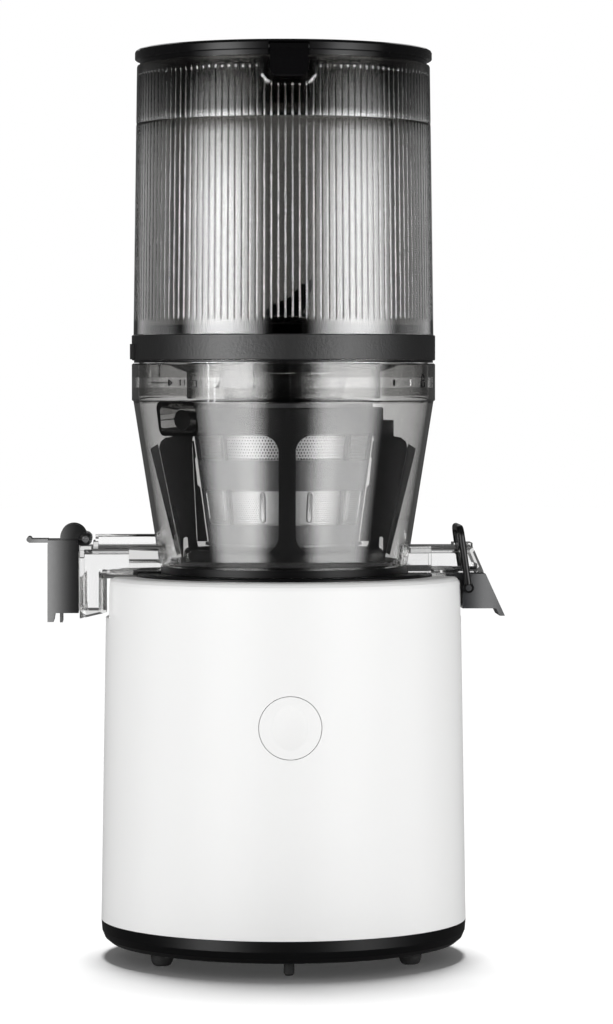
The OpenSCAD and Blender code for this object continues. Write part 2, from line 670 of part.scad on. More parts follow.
// Soft blades on the arms and a strip on the inside of each pillar
module wiper_blades() color(soft) {
    for (s = [0, 1]) mirror([s, 0, 0]) slab(-0.6, 0.6)
        polygon([[51.4, 201], [53.2, 200], [rc(254) - chamber_wall - 2.2, 253], [62.6, 255.4]]);
    for (a = [0 : 3]) rotate([0, 0, 90 * a]) slab(-0.8, 0.8)
        polygon([[rs(207) + 0.5, 207], [42.9, 207], [45.5, 257], [rs(257) + 0.5, 257],
            [rs(249) + 0.5, 249], [rs(248) + 1.2, 248], [rs(235) + 1.6, 235], [rs(234) + 0.5, 234]]);
}

module brush_idler() color(grey) at(0, 38) difference() {
    at(0, 0, 190.9) linear_extrude(5.4) polygon(gear(14, 2, 0.35));
    at(0, 0, 185) cylinder(r = 3.08, h = 20);
}

module idler_pin() color(steel) at(0, 38) {
    at(0, 0, 190.3) cylinder(r = 3, h = 6.6);
    at(0, 0, 190.25) cylinder(r = 4, h = 0.45);
}

// ---------------------------------------------------------------- auger
module auger() color(black) difference() {
    union() {
        rev([[0, 187.8], [12.3, 187.8], [12.3, 201], [24, 205.5], [28.6, 274], [30, 282],
             [34, 297], [41, 309.4], [44.6, 313.3], [44.2, 313.9], [30, 315.9], [13.4, 317.2],
             [12.4, 317.3], [9, 318.2], [4.5, 318.8], [0, 319]]);
        at(0, 0, 190.9) linear_extrude(5.4) polygon(gear(24, 2, 0.35));
    }
    at(0, 0, 180) cylinder(r = 9.9, h = 36.4);
    // hollow inside
    rev([[0, 222], [16, 222], [20, 240], [22, 276], [24, 292], [0, 300]]);
    // grooves in the dish
    around(3, 20) translate([28, 0, 317.6]) scale(1) sphere(r = 4, $fn = 64);
}

module fin2d(r0, r1, w) polygon(concat(
    [for (i = [0 : 3]) pol(r0, -w / 2 + w * i / 3)],
    [for (i = [3 : -1 : 0]) pol(r1, 9 - w / 4 + w / 2 * i / 3)]));

module auger_flights() color(black) translate([0, 0, 206.5])
    linear_extrude(height = 65.5, twist = -310, scale = 1.188, slices = 56, segments = 10, $fn = 16)
        for (a = [0, 180]) rotate(a) fin2d(24.3, 33.1, 26);

module auger_wing() color(black) {
    // tall cutting wing and a lower one behind it
    slab(-7, -4) polygon([[-13.2, 317.6], [-11, 323.2], [-8, 320.6], [1, 326.6], [9, 334.2],
        [14.2, 337.2], [13.4, 331], [10, 322], [8.6, 318.9], [4, 319.2], [-4, 319.2],
        [-10, 318.4]]);
    slab(3.4, 6) polygon([[-12, 318.4], [-6, 324.6], [2, 327.6], [8, 324], [11.4, 318.6],
        [4, 319.3], [-4, 319.3]]);
}

module drive_socket() color(steel) difference() {
    at(0, 0, 188) cylinder(r = 9.85, h = 28.2);
    at(0, 0, 180) cylinder(r = 7.15, h = 33.4, $fn = 6);
}

// ---------------------------------------------------------------- hopper and lid
module hopper() color(smoke) difference() {
    union() {
        rev([[69.6, 309.6], [rh(309.6), 309.6], [rh(442), 442], [rh(442) - 0.8, 443],
             [rh(442) - hopper_wall, 443], [rh(314) - hopper_wall, 314], [69.6, 311.4]]);
        // pad behind the latch
        intersection() {
            ring(rh(442) + 0.9, 70.6, 428.6, 443);
            slab(-90, -50) rr(-13, 13, 428.6, 450, 5);
        }
    }
    // socket in which the latch sits
    slab(-90, -73.1) rr(-10.2, 10.2, 431.6, 452, 2);
}

// Lower half of the hopper: spigot with its bayonet tabs, funnel and throat
module hopper_funnel() color(smoke) {
    rev([[46, 277.2], [48.2, 277.2], [48.2, 291], [69.57, 299.2], [69.57, 301.6], [46, 292.8]]);
    rev([[69.6, 279.4], [71.8, 279.4], [71.8, 309.57], [69.6, 309.57]]);
    around(4, -40) rotate([0, 0, -5]) translate([0, 0, 284.4])
        rotate_extrude(angle = 10) translate([71, 0]) square([2.2, 3]);
}

// Bracket on the hopper's back with the two ears of the lid's hinge
module hinge_bracket() color(black) difference() {
    union() {
        for (s = [-1, 1]) at(s * 12, 0) {
            at(0, 77.8, 446.5) xcyl(3.3, -2, 2);
            blk(-2, 2, 74.6, 81.1, 438, 446.5);
            blk(-2, 2, 71.4, 81.1, 430, 442.4);
        }
        blk(-14, 14, 71.2, 76, 430, 438);
    }
    rev([[0, 425], [rh(425) + 0.03, 425], [rh(442) + 0.03, 442], [rh(442) - 0.77, 443.03], [0, 443.03]]);
    at(0, 77.8, 446.5) xcyl(1.64, -20, 20);
    for (s = [-1, 1]) at(s * 12, 81.1, 430) rotate([-28, 0, 0]) blk(-4, 4, -1, 8, -8, 14);
}

module collar() color(charcoal) {
    rev([[72.1, 296.9], [rim_r - 0.4, 296.9], [rim_r, 297.3], [rim_r, 309], [rim_r - 0.4, 309.4],
         [72.1, 309.4]]);
    // thumb tab
    rotate([0, 0, 184]) translate([0, 0, 297.4]) rotate_extrude(angle = 9)
        translate([rim_r - 0.5, 0]) square([1.6, 7.6]);
}

module hopper_gasket() color(black) ring(74.4, 72.2, 295.75, 296.8);

module lid() color(black) difference() {
    union() {
        rev([[0, 446], [69, 446], [69, 443.3], [71.2, 443.3], [71.2, 445.5], [lid_r - 0.5, 445.5],
             [lid_r, 446], [lid_r, lid_top - 1.4], [lid_r - 0.4, lid_top - 0.6],
             [lid_r - 1.4, lid_top], [66, lid_top], [62, lid_top - 1.8], [0, lid_top - 2.4]]);
        // hinge knuckle and its arm
        at(0, 77.8, 446.5) xcyl(3.3, -9.6, 9.6);
        blk(-9.6, 9.6, 70, 77.8, 446, 449.8);
    }
    at(0, 77.8, 446.5) xcyl(1.68, -20, 20);
    // pocket and pin hole for the latch
    blk(-9.8, 9.8, -80, -69.2, 440, 449.2);
    at(0, -71.4, 447.2) xcyl(1.14, -11.8, 11.8);
}

module lid_skirt() color(smoke) rev([[65.6, 423], [66.8, 422.6], [68.2, 443], [68.2, 445.8],
    [66.4, 445.8], [66.4, 443]]);

module lid_hinge_pin() color(steel) at(0, 77.8, 446.5) xcyl(1.6, -13.8, 13.8);

// Front latch: hangs from its pin in the lid and swings outwards
module lid_latch() color(black) difference() {
    union() {
        translate([-9.35, 0, 0]) rotate([90, 0, 90]) linear_extrude(18.7)
            polygon([[-75, 433.2], [-74.4, 432.6], [-73.4, 432.6], [-73.4, 444.6],
                [-71.6, 445.5], [-71.4, 448.9], [-73.4, 448.4], [-74.4, 446.8], [-75, 446]]);
        at(0, -71.4, 447.2) xcyl(1.7, -9.35, 9.35);
    }
    at(0, -71.4, 447.2) xcyl(1.18, -20, 20);
    // rounded lower corners
    for (s = [0, 1]) mirror([s, 0, 0]) slab(-80, -70) difference() {
        translate([5.35, 432]) square([5, 4.6]);
        translate([5.35, 436.6]) circle(4);
    }
}

module latch_pin() color(steel) at(0, -71.4, 447.2) xcyl(1.1, -11.6, 11.6);

body_shell();
top_deck();
base_cover();
rubber_feet();
cord_gland();
button_switch();
control_board();
board_screws();
run_capacitor();
interlock_sensor();
motor_case();
motor_stator();
motor_bearings();
gearbox_housing();
gearbox_mid_plate();
gearbox_cover();
gearbox_bearings();
gearbox_mounts();
drive_screws();
shaft_seal();
base_screws();
deck_screws();
power_button();
motor_rotor();
cooling_fan();
motor_pinion();
intermediate_gear();
intermediate_shaft();
output_gear();
drive_shaft();
chamber();
juice_spout();
pulp_spout();
chamber_seal();
interlock_magnet();
strainer_frame();
strainer_mesh();
juice_cap();
juice_cap_seal();
juice_cap_pin();
pulp_chute();
bail();
brush_frame();
wiper_blades();
brush_idler();
idler_pin();
auger();
auger_flights();
auger_wing();
drive_socket();
hopper();
hopper_funnel();
hinge_bracket();
collar();
hopper_gasket();
lid();
lid_skirt();
lid_hinge_pin();
lid_latch();
latch_pin();
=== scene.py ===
import math

import bpy
import numpy as np
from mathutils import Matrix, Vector


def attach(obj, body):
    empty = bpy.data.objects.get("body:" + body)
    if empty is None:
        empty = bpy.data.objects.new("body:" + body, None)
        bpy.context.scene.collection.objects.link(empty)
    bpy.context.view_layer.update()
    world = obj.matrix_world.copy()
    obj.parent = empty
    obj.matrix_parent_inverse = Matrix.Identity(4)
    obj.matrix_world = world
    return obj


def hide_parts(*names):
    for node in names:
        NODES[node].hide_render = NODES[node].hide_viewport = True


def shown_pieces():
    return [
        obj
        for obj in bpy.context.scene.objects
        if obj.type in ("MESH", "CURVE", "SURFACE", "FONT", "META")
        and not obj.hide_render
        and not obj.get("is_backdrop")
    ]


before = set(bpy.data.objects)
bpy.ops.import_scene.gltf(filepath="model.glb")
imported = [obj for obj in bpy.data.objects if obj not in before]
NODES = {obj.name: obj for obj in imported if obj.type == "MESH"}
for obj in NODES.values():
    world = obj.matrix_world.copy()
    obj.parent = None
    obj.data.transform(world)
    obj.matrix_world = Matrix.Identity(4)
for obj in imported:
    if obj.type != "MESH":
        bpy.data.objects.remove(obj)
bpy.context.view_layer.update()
MM = 0.001
TAU = 2 * math.pi
scene = bpy.context.scene

# ------------------------------------------------------------------ camera
YAW = math.radians(2.1)
DIST = 2.0
CAM_HEIGHT = 0.287
AIM_SIDE = 0.01146
AIM_HEIGHT = 0.2214
LENS = 141.1
fwd = Vector((math.sin(YAW), math.cos(YAW), 0))
right = Vector((math.cos(YAW), -math.sin(YAW), 0))
cam_data = bpy.data.cameras.new("camera")
cam_data.sensor_width = 36
cam_data.lens = LENS
cam_data.clip_start = 0.05
cam_data.clip_end = 60
cam = bpy.data.objects.new("camera", cam_data)
scene.collection.objects.link(cam)
cam.location = -fwd * DIST + Vector((0, 0, CAM_HEIGHT))
aim = right * AIM_SIDE + Vector((0, 0, AIM_HEIGHT))
cam.rotation_euler = (aim - cam.location).to_track_quat("-Z", "Y").to_euler()
scene.camera = cam


# ------------------------------------------------------------------ materials
def math_node(tree, op, a, b):
    """A math node on a tree; each input is a number or another node's output."""
    node = tree.nodes.new("ShaderNodeMath")
    node.operation = op
    for socket, value in zip(node.inputs, (a, b)):
        if isinstance(value, (int, float)):
            socket.default_value = value
        else:
            tree.links.new(value, socket)
    return node.outputs[0]


class Mat:
    """A node material with a few short helpers."""

    def __init__(self, name):
        self.m = bpy.data.materials.new(name)
        self.m.use_nodes = True
        self.t = self.m.node_tree
        self.n = self.t.nodes
        self.out = self.n["Material Output"]
        self.p = self.n["Principled BSDF"]
        self.co = self.n.new("ShaderNodeTexCoord")

    def link(self, a, b):
        self.t.links.new(a, b)

    def set(self, **values):
        for key, value in values.items():
            self.p.inputs[key.replace("_", " ")].default_value = value
        return self

    def mapping(self, scale=(1, 1, 1)):
        mp = self.n.new("ShaderNodeMapping")
        mp.inputs["Scale"].default_value = scale
        self.link(self.co.outputs["Object"], mp.inputs["Vector"])
        return mp.outputs["Vector"]

    def noise(self, scale, detail=4.0, rough=0.55, stretch=None):
        nz = self.n.new("ShaderNodeTexNoise")
        nz.inputs["Scale"].default_value = scale
        nz.inputs["Detail"].default_value = detail
        nz.inputs["Roughness"].default_value = rough
        vec = self.mapping(stretch) if stretch else self.co.outputs["Object"]
        self.link(vec, nz.inputs["Vector"])
        return nz.outputs["Fac"]

    def ramp(self, fac, stops):
        cr = self.n.new("ShaderNodeValToRGB")
        el = cr.color_ramp.elements
        while len(el) < len(stops):
            el.new(0.5)
        for e, (pos, c) in zip(el, stops):
            e.position = pos
            e.color = (c, c, c, 1) if isinstance(c, (int, float)) else (*c, 1)
        self.link(fac, cr.inputs["Fac"])
        return cr.outputs["Color"]

    def range(self, fac, lo, hi, a=0.3, b=0.7):
        mr = self.n.new("ShaderNodeMapRange")
        mr.inputs["From Min"].default_value = a
        mr.inputs["From Max"].default_value = b
        mr.inputs["To Min"].default_value = lo
        mr.inputs["To Max"].default_value = hi
        self.link(fac, mr.inputs["Value"])
        return mr.outputs["Result"]

    def math(self, op, a, b):
        return math_node(self.t, op, a, b)

    def bump(self, height, distance, strength=1.0, after=None):
        bp = self.n.new("ShaderNodeBump")
        bp.inputs["Distance"].default_value = distance
        bp.inputs["Strength"].default_value = strength
        self.link(height, bp.inputs["Height"])
        if after is not None:
            self.link(after, bp.inputs["Normal"])
        return bp.outputs["Normal"]

    def normal(self, n):
        self.link(n, self.p.inputs["Normal"])
        return self

    def colour(self, c):
        self.link(c, self.p.inputs["Base Color"])
        return self

    def roughness(self, r):
        self.link(r, self.p.inputs["Roughness"])
        return self


WAVINESS = 0.00008
CROWN_PER_METRE = 11.0
LAMP_TINT = (0.96, 0.96, 0.96, 1)
ABSORB_TINT = (0.03, 0.02, 0.0, 1)
IOR_PLASTIC = 1.49


def plastic(name, colour, rough, spread=0.06, grain=0.0, grain_scale=2200, tone=0.12,
            specular=0.5, crown=None):
    """Moulded plastic: slow tone drift, uneven gloss, fine spark-eroded grain and faint flow waviness."""
    m = Mat(name)
    m.set(Specular_IOR_Level=specular, Coat_Weight=0.0, Coat_Roughness=0.08)
    drift = m.noise(9, 3)
    dust = m.noise(420, 5, 0.7)
    lo = tuple(max(0.0, c * (1 - tone)) for c in colour)
    hi = tuple(min(1.0, c * (1 + tone)) for c in colour)
    m.colour(m.ramp(m.math("ADD", m.math("MULTIPLY", drift, 0.75), m.math("MULTIPLY", dust, 0.25)),
                    [(0.32, lo), (0.68, hi)]))
    m.roughness(m.range(m.math("ADD", m.math("MULTIPLY", drift, 0.5), m.math("MULTIPLY", dust, 0.5)),
                        rough - spread, rough + spread))
    n = m.bump(m.noise(55, 2), WAVINESS, 0.25)
    if grain:
        n = m.bump(m.noise(grain_scale, 3, 0.6), grain, 0.9, n)
    if crown is not None:
        # a slight crown across X, so a flat moulded face reads as gently curved
        sep = m.n.new("ShaderNodeSeparateXYZ")
        m.link(m.co.outputs["Object"], sep.inputs[0])
        off = m.math("SUBTRACT", sep.outputs[0], crown)
        n = m.bump(m.math("MULTIPLY", m.math("MULTIPLY", off, off), -CROWN_PER_METRE), 1.0, 1.0, n)
    m.normal(n)
    return m.m


def clear(name, tint, density, rough=0.02, wave=0.00003):
    """Clear moulded plastic: real refraction, absorption by depth, lamps let through."""
    m = Mat(name)
    m.set(Base_Color=(*tint, 1), Transmission_Weight=1.0, IOR=IOR_PLASTIC, Specular_IOR_Level=0.5)
    m.roughness(m.range(m.noise(60, 4), rough * 0.4, rough * 1.6))
    m.normal(m.bump(m.noise(38, 2), wave, 0.35))
    mix = m.n.new("ShaderNodeMixShader")
    lp = m.n.new("ShaderNodeLightPath")
    tr = m.n.new("ShaderNodeBsdfTransparent")
    tr.inputs["Color"].default_value = LAMP_TINT
    m.link(lp.outputs["Is Shadow Ray"], mix.inputs[0])
    m.link(m.p.outputs[0], mix.inputs[1])
    m.link(tr.outputs[0], mix.inputs[2])
    m.link(mix.outputs[0], m.out.inputs["Surface"])
    va = m.n.new("ShaderNodeVolumeAbsorption")
    va.inputs["Color"].default_value = ABSORB_TINT
    va.inputs["Density"].default_value = density
    m.link(va.outputs[0], m.out.inputs["Volume"])
    return m.m


def metal(name, colour, rough, brushed=None, spread=0.08):
    m = Mat(name)
    m.set(Metallic=1.0)
    streak = m.noise(90, 5, 0.6, stretch=brushed or (1, 1, 12))
    drift = m.noise(25, 3)
    m.colour(m.ramp(drift, [(0.3, tuple(c * 0.86 for c in colour)), (0.7, colour)]))
    m.roughness(m.range(m.math("ADD", m.math("MULTIPLY", streak, 0.6), m.math("MULTIPLY", drift, 0.4)),
                        rough - spread, rough + spread))
    m.normal(m.bump(m.noise(900, 3, 0.6, stretch=brushed or (1, 1, 0.08)), 0.00001, 0.5))
    return m.m


CAP_CROWN_X = -0.1019
CHUTE_CROWN_X = 0.086
WHITE = plastic("white_satin_shell", (0.86, 0.86, 0.855), 0.34, 0.05, 0.000004, 2600, 0.012)
BUTTON = plastic("white_button", (0.86, 0.86, 0.855), 0.3, 0.04, 0.000004, 2600, 0.012)
BLACK = plastic("black_satin", (0.003, 0.003, 0.0032), 0.3, 0.06, 0.000004, 1800, 0.25, specular=0.35)
DECK = plastic("black_deck", (0.003, 0.003, 0.0032), 0.34, 0.06, 0.000004, 1800, 0.25, specular=0.14)
CAP = plastic("black_cap", (0.003, 0.003, 0.0032), 0.3, 0.05, 0.000004, 1800, 0.25, crown=CAP_CROWN_X)
GLOSS = plastic("black_gloss", (0.0025, 0.0025, 0.0027), 0.15, 0.04, 0, 0, 0.2, specular=0.25)
COLLAR = plastic("sandblasted_collar", (0.008, 0.008, 0.0082), 0.44, 0.06, 0.00017, 720, 0.3, specular=0.58)
CHARCOAL = plastic("charcoal_brush", (0.0035, 0.0035, 0.0037), 0.22, 0.03, 0, 0, 0.2, specular=0.3)
GREY = plastic("grey_strainer", (0.05, 0.05, 0.052), 0.2, 0.04, 0.000002, 1500, 0.1)
MIDGREY = plastic("grey_housing", (0.3, 0.3, 0.31), 0.45, 0.08, 0.00003, 1200, 0.1)
AUGER = plastic("auger_black", (0.004, 0.004, 0.0042), 0.24, 0.06, 0.000004, 1500, 0.25, specular=0.35)
RUBBER = plastic("rubber", (0.016, 0.016, 0.016), 0.72, 0.1, 0.00004, 1300, 0.3, specular=0.3)
BLADE = plastic("blade_silicone", (0.006, 0.006, 0.0062), 0.35, 0.05, 0.000002, 1400, 0.15, specular=0.3)
SILICONE = plastic("silicone", (0.5, 0.5, 0.49), 0.42, 0.08, 0.00001, 1400, 0.08)
CHUTE = plastic("chute_smoke", (0.022, 0.023, 0.025), 0.26, 0.06, 0.000004, 1500, 0.25,
                specular=0.33, crown=CHUTE_CROWN_X)
NYLON = plastic("nylon_gear", (0.7, 0.67, 0.56), 0.42, 0.08, 0.00001, 1300, 0.06)
BOARD = plastic("circuit_board", (0.012, 0.1, 0.045), 0.35, 0.08, 0.00002, 1800, 0.3)
COPPER = metal("copper_winding", (0.83, 0.42, 0.22), 0.32, (1, 1, 40))
STEEL = metal("bright_steel", (0.78, 0.78, 0.79), 0.24)
MESH = metal("strainer_steel", (0.3, 0.3, 0.303), 0.42, (6, 6, 6))
CAN = metal("capacitor_can", (0.8, 0.8, 0.82), 0.36)
BOWL = clear("clear_bowl", (0.985, 0.985, 0.985), 140, 0.01)
SPOUT = clear("clear_spout", (0.99, 0.99, 0.99), 12, 0.01)
SMOKE = clear("smoked_hopper", (0.97, 0.97, 0.97), 600, 0.008, 0.0)
FUNNEL = clear("smoked_funnel", (0.98, 0.98, 0.98), 90, 0.012)
SKIRT = clear("smoked_skirt", (0.9, 0.9, 0.9), 900, 0.02)

PAINT = {
    WHITE: ["body_shell"],
    BUTTON: ["power_button"],
    DECK: ["top_deck", "base_cover"],
    CAP: ["juice_cap"],
    BLACK: ["cord_gland", "bail", "cooling_fan", "hopper_gasket", "hinge_bracket", "interlock_magnet"],
    GLOSS: ["lid", "lid_latch"],
    COLLAR: ["collar"],
    CHARCOAL: ["brush_frame", "button_switch", "interlock_sensor"],
    GREY: ["strainer_frame"],
    MIDGREY: ["gearbox_housing", "gearbox_mid_plate", "gearbox_cover", "brush_idler"],
    AUGER: ["auger", "auger_flights", "auger_wing"],
    RUBBER: ["rubber_feet", "gearbox_mounts", "shaft_seal"],
    SILICONE: ["juice_cap_seal", "chamber_seal"],
    BLADE: ["wiper_blades"],
    CHUTE: ["pulp_chute"],
    NYLON: ["intermediate_gear", "output_gear"],
    BOARD: ["control_board"],
    COPPER: ["motor_stator"],
    STEEL: ["board_screws", "motor_case", "motor_bearings", "gearbox_bearings",
            "drive_screws", "base_screws", "deck_screws", "motor_rotor", "motor_pinion",
            "intermediate_shaft", "drive_shaft", "juice_cap_pin",
            "idler_pin", "drive_socket", "lid_hinge_pin", "latch_pin"],
    MESH: ["strainer_mesh"],
    CAN: ["run_capacitor"],
    BOWL: ["chamber"],
    SPOUT: ["juice_spout", "pulp_spout"],
    SMOKE: ["hopper"],
    FUNNEL: ["hopper_funnel"],
    SKIRT: ["lid_skirt"],
}
for mat, names in PAINT.items():
    for name in names:
        ob = NODES[name]
        if not ob.material_slots:
            ob.data.materials.append(mat)
        for s in ob.material_slots:
            s.material = mat


# ------------------------------------------------------------------ mesh helpers
def piece(name, verts, faces, mat, body, smooth=35, replaces=()):
    me = bpy.data.meshes.new(name)
    me.from_pydata([tuple(v) for v in verts], [], [tuple(f) for f in faces])
    me.validate()
    me.update()
    if smooth:
        me.polygons.foreach_set("use_smooth", [True] * len(me.polygons))
        me.set_sharp_from_angle(angle=math.radians(smooth))
    me.materials.append(mat)
    ob = bpy.data.objects.new(name, me)
    scene.collection.objects.link(ob)
    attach(ob, body)
    if replaces:
        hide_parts(*replaces)
    return ob


def grid_faces(rows, cols, wrap_rows, wrap_cols):
    """Quads of a grid of points stored row by row."""
    faces = []
    for i in range(rows if wrap_rows else rows - 1):
        a = i * cols
        b = (i + 1) % rows * cols
        for j in range(cols if wrap_cols else cols - 1):
            k = (j + 1) % cols
            faces.append((a + j, a + k, b + k, b + j))
    return faces


# ------------------------------------------------------------------ fluted hopper
HOPPER_FOOT_R = 74.6
HOPPER_FOOT_Z = 309.4
HOPPER_TAPER = 1.9 / 133.6
HOPPER_WALL = 2.4
FLUTES = 132
GROOVE_DEPTH = 0.18
GROOVE_WIDTH = 0.075
LINE_Z = 414
LINE_DEPTH = 0.3


def rh(z):
    """The hopper's outer radius in millimetres."""
    return HOPPER_FOOT_R - (z - HOPPER_FOOT_Z) * HOPPER_TAPER


def smoothstep(x, a, b):
    t = np.clip((x - a) / (b - a), 0, 1)
    return t * t * (3 - 2 * t)


def make_hopper():
    """The smoked hopper's wall with its flutes, the latch's pad and the fill line. Millimetres."""
    # columns sit closer together where the groove between two flutes bends
    u = np.array([-0.5, -0.25, -0.13, -0.07, -0.02, 0.02, 0.07, 0.13, 0.25])
    ang = ((np.arange(FLUTES)[:, None] + 0.5 + u[None, :]) / FLUTES * TAU).ravel() - math.pi / 2
    groove = np.exp(-(np.tile(u, FLUTES) / GROOVE_WIDTH) ** 2)
    zs = np.concatenate([[309.6, 313.0, 315.6, 316.4, 316.9, 317.4, 318.0],
                         np.arange(322, 412, 6.0), [412.6, 413.2, 413.6, 414.0, 414.4, 414.8, 415.4],
                         np.arange(418, 425, 4.0), np.arange(426.0, 442.01, 0.5)])
    rows = []
    x_front = 74 * np.cos(ang)
    front = np.sin(ang) < 0
    pad_across = (1 - smoothstep(np.abs(x_front), 12.4, 13.2)) * front
    sock_across = (1 - smoothstep(np.abs(x_front), 9.9, 10.3)) * front
    pad_top = 429.3 + np.clip(np.abs(x_front) - 8, 0, 5) ** 2 * 0.16
    for z in zs:
        level = np.full_like(x_front, z)
        pad = pad_across * smoothstep(level, pad_top - 0.4, pad_top + 0.5)
        fluted = smoothstep(level, 316.2, 317.6) * (1 - smoothstep(level, 437.2, 438.4))
        sock = sock_across * smoothstep(level, 431.3, 431.9)
        r = rh(z) - GROOVE_DEPTH * groove * fluted * (1 - pad) + 0.4 * pad - 0.25 * sock * pad
        r = r - LINE_DEPTH * math.exp(-((z - LINE_Z) / 0.5) ** 2)
        rows.append(np.stack([r * np.cos(ang), r * np.sin(ang), level], 1))
    # the rim and the inside are plain
    plain = [(rh(442) - 0.25, 442.7), (rh(442) - 0.8, 443.0), (rh(442) - HOPPER_WALL, 443.0),
             (rh(400) - HOPPER_WALL, 400.0), (rh(314) - HOPPER_WALL, 314.0), (69.6, 311.4), (69.6, 309.6)]
    for r, z in plain:
        rows.append(np.stack([r * np.cos(ang), r * np.sin(ang), np.full_like(ang, z)], 1))
    verts = np.concatenate(rows) * MM
    faces = grid_faces(len(rows), len(ang), True, True)
    return piece("hopper_fluted", verts, faces, SMOKE, "hopper_set", 40, ["hopper"])


make_hopper()


# ------------------------------------------------------------------ perforated strainer screen
SHEET_INSET = 2.45
GAUGE = 0.4


def rs(z):
    """The strainer's outer radius in millimetres."""
    return 37.5 + (z - 208) * 0.13462


def perforated(z0, z1, cells, hole):
    """A conical steel sheet with staggered round holes: points and faces, millimetres."""
    pitch = TAU * rs((z0 + z1) / 2) / cells
    rows = max(2, int(round((z1 - z0) / (pitch * 0.88)) // 2 * 2))
    dz = (z1 - z0) / rows
    verts, faces, index = [], [], {}

    def point(a, z, layer):
        a = a % (2 * cells)
        key = (round(a, 3), round(z, 3), layer)
        if key not in index:
            r = rs(z) - SHEET_INSET - GAUGE * layer
            t = a * TAU / (2 * cells)
            index[key] = len(verts)
            verts.append((r * math.sin(t), -r * math.cos(t), z))
        return index[key]

    per_mm = 2 * cells / (TAU * rs((z0 + z1) / 2))
    for i in range(rows):
        za, zb = z0 + i * dz, z0 + (i + 1) * dz
        zm = (za + zb) / 2
        for c in range(cells):
            a0 = 2 * c + (i % 2)
            rim = [(a0, za), (a0 + 1, za), (a0 + 2, za), (a0 + 2, zm),
                   (a0 + 2, zb), (a0 + 1, zb), (a0, zb), (a0, zm)]
            hub = []
            for k in range(8):
                t = math.radians(225 + 45 * k)
                hub.append((a0 + 1 + hole / 2 * math.cos(t) * per_mm, zm + hole / 2 * math.sin(t)))
            out = [[point(a, z, L) for a, z in rim] for L in (0, 1)]
            inn = [[point(a, z, L) for a, z in hub] for L in (0, 1)]
            for k in range(8):
                n = (k + 1) % 8
                faces.append((out[0][k], out[0][n], inn[0][n], inn[0][k]))
                faces.append((out[1][n], out[1][k], inn[1][k], inn[1][n]))
                faces.append((inn[0][k], inn[0][n], inn[1][n], inn[1][k]))
    # close the sheet's upper and lower edges
    for z, flip in ((z0, True), (z1, False)):
        for a in range(2 * cells):
            q = (point(a, z, 0), point(a + 1, z, 0), point(a + 1, z, 1), point(a, z, 1))
            faces.append(q if flip else q[::-1])
    return verts, faces


def lathe(profile, n):
    """A closed ring turned from a closed profile in millimetres."""
    ang = np.arange(n) / n * TAU
    verts = []
    for r, z in profile:
        verts += [(r * math.cos(a), r * math.sin(a), z) for a in ang]
    return verts, [f[::-1] for f in grid_faces(len(profile), n, True, True)]


def merge(*parts):
    verts, faces = [], []
    for v, f in parts:
        k = len(verts)
        verts += list(v)
        faces += [tuple(i + k for i in q) for q in f]
    return verts, faces


def band(z0, z1):
    """A plain stretch of the sheet between two perforated ones."""
    a, b = rs(z0) - SHEET_INSET, rs(z1) - SHEET_INSET
    return lathe([(a, z0), (b, z1), (b - GAUGE, z1), (a - GAUGE, z0)], 192)


def pill(angle, z0, z1, wide, proud, steps=10):
    """A raised capsule on the cone at an angle from the front."""
    outline = []
    h = wide / 2
    for k in range(steps + 1):
        t = math.pi * k / steps
        outline.append((h * math.cos(t), z1 - h + h * math.sin(t)))
    for k in range(steps + 1):
        t = math.pi + math.pi * k / steps
        outline.append((h * math.cos(t), z0 + h + h * math.sin(t)))
    zc = (z0 + z1) / 2
    rings = []
    for inset, lift in ((0, -0.25), (0, proud * 0.6), (0.25, proud), (0.55, proud), (0.8, proud * 0.35)):
        ring = []
        for x, z in outline:
            sx = 1 - inset / h
            zz = zc + (z - zc) * (1 - inset / ((z1 - z0) / 2))
            r = rs(zz) - SHEET_INSET + lift
            t = math.radians(angle) + x * sx / r
            ring.append((r * math.sin(t), -r * math.cos(t), zz))
        rings.append(ring)
    n = len(outline)
    verts = [p for ring in rings for p in ring]
    faces = grid_faces(len(rings), n, False, True)
    faces.append(tuple(range((len(rings) - 1) * n, len(rings) * n)))
    faces.append(tuple(reversed(range(n))))
    return verts, faces


def make_screen():
    upper = perforated(246.5, 261.4, 176, 0.86)
    lower = perforated(213.5, 235.0, 230, 0.56)
    v, f = merge(upper, band(235.0, 246.5), lower, band(207.2, 213.5))
    piece("strainer_screen", np.array(v) * MM, f, MESH, "bowl", 0, ["strainer_mesh"])
    bars = merge(*[pill(a, 217.4, 232.4, 3.2, 0.55) for a in range(-162, 180, 36)])
    piece("screen_slots", np.array(bars[0]) * MM, bars[1], MESH, "bowl", 50)


make_screen()


# ------------------------------------------------------------------ raised signs on the chamber's rim
RIM_R = 75.5
RIM_Z = 285.8


def stroke(points, width, angle0, z_base, lift=0.28, closed=False):
    """A flat raised stroke along a line of points, laid on the rim band. Points in millimetres."""
    pts = [Vector((x, z)) for x, z in points]
    n = len(pts)
    verts, faces = [], []
    for i, p in enumerate(pts):
        if closed:
            d = pts[(i + 1) % n] - pts[i - 1]
        else:
            d = pts[min(i + 1, n - 1)] - pts[max(i - 1, 0)]
        d.normalize()
        side = Vector((-d.y, d.x)) * width / 2
        section = ((p + side, -0.15), (p + side * 0.9, lift), (p - side * 0.9, lift), (p - side, -0.15))
        for q, lift_q in section:
            t = math.radians(angle0) + q.x / RIM_R
            r = RIM_R + lift_q
            verts.append((r * math.sin(t), -r * math.cos(t), z_base + q.y))
    faces += grid_faces(n, 4, closed, True)
    if not closed:
        faces += [(3, 2, 1, 0), tuple(range(4 * n - 4, 4 * n))]
    return verts, faces


